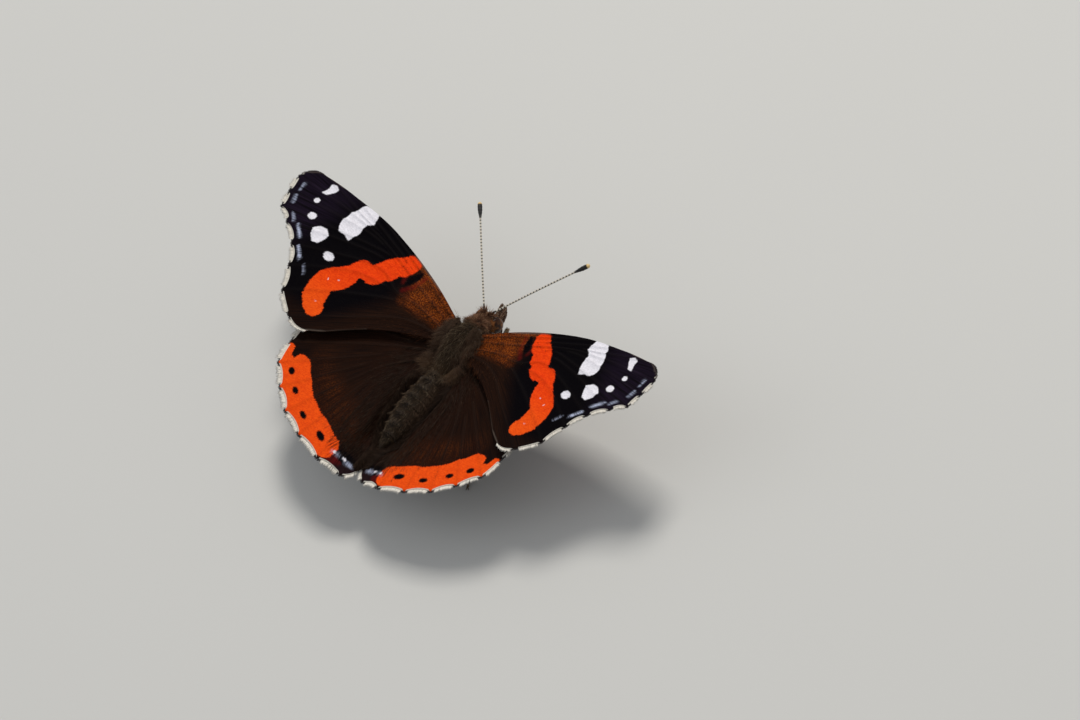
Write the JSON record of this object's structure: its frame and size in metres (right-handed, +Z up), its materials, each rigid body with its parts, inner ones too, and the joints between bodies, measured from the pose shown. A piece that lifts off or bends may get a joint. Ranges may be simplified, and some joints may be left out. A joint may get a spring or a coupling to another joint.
{
  "type": "red admiral butterfly",
  "caption": "Life-size red admiral butterfly standing on its walking legs with its wings spread flat, veins raised on the wings, clubbed feelers and ringed abdomen.",
  "frame": {"origin": "on the floor under the centre of the bounding box, the undersides of the feet at Z 0", "axes": "+X towards the butterfly's left, -Y along the body towards the head, +Z up"},
  "size_m": [0.0668, 0.0385, 0.0159],
  "materials": {
    "wing": "matte",
    "thorax": "matte",
    "abdomen": "matte",
    "head": "matte",
    "eye": "gloss",
    "antenna": "satin",
    "leg": "satin"
  },
  "bodies": {
    "root": {"prothorax": "thorax", "mesothorax": "thorax", "metathorax": "thorax", "abdomen": "abdomen", "head": "head", "proboscis": "leg", "eye_left": "eye", "eye_right": "eye", "palp_left": "head", "palp_right": "head", "antenna_left": "antenna", "antenna_right": "antenna", "foreleg_left": "leg", "foreleg_right": "leg", "middle_femur_left": "leg", "middle_femur_right": "leg", "middle_tibia_left": "leg", "middle_tibia_right": "leg", "middle_tarsus_left": "leg", "middle_tarsus_right": "leg", "hind_femur_left": "leg", "hind_femur_right": "leg", "hind_tibia_left": "leg", "hind_tibia_right": "leg", "hind_tarsus_left": "leg", "hind_tarsus_right": "leg", "tegula_left": "thorax", "tegula_right": "thorax", "forewing_left": "wing", "forewing_right": "wing", "hindwing_left": "wing", "hindwing_right": "wing"}
  },
  "joints": []
}
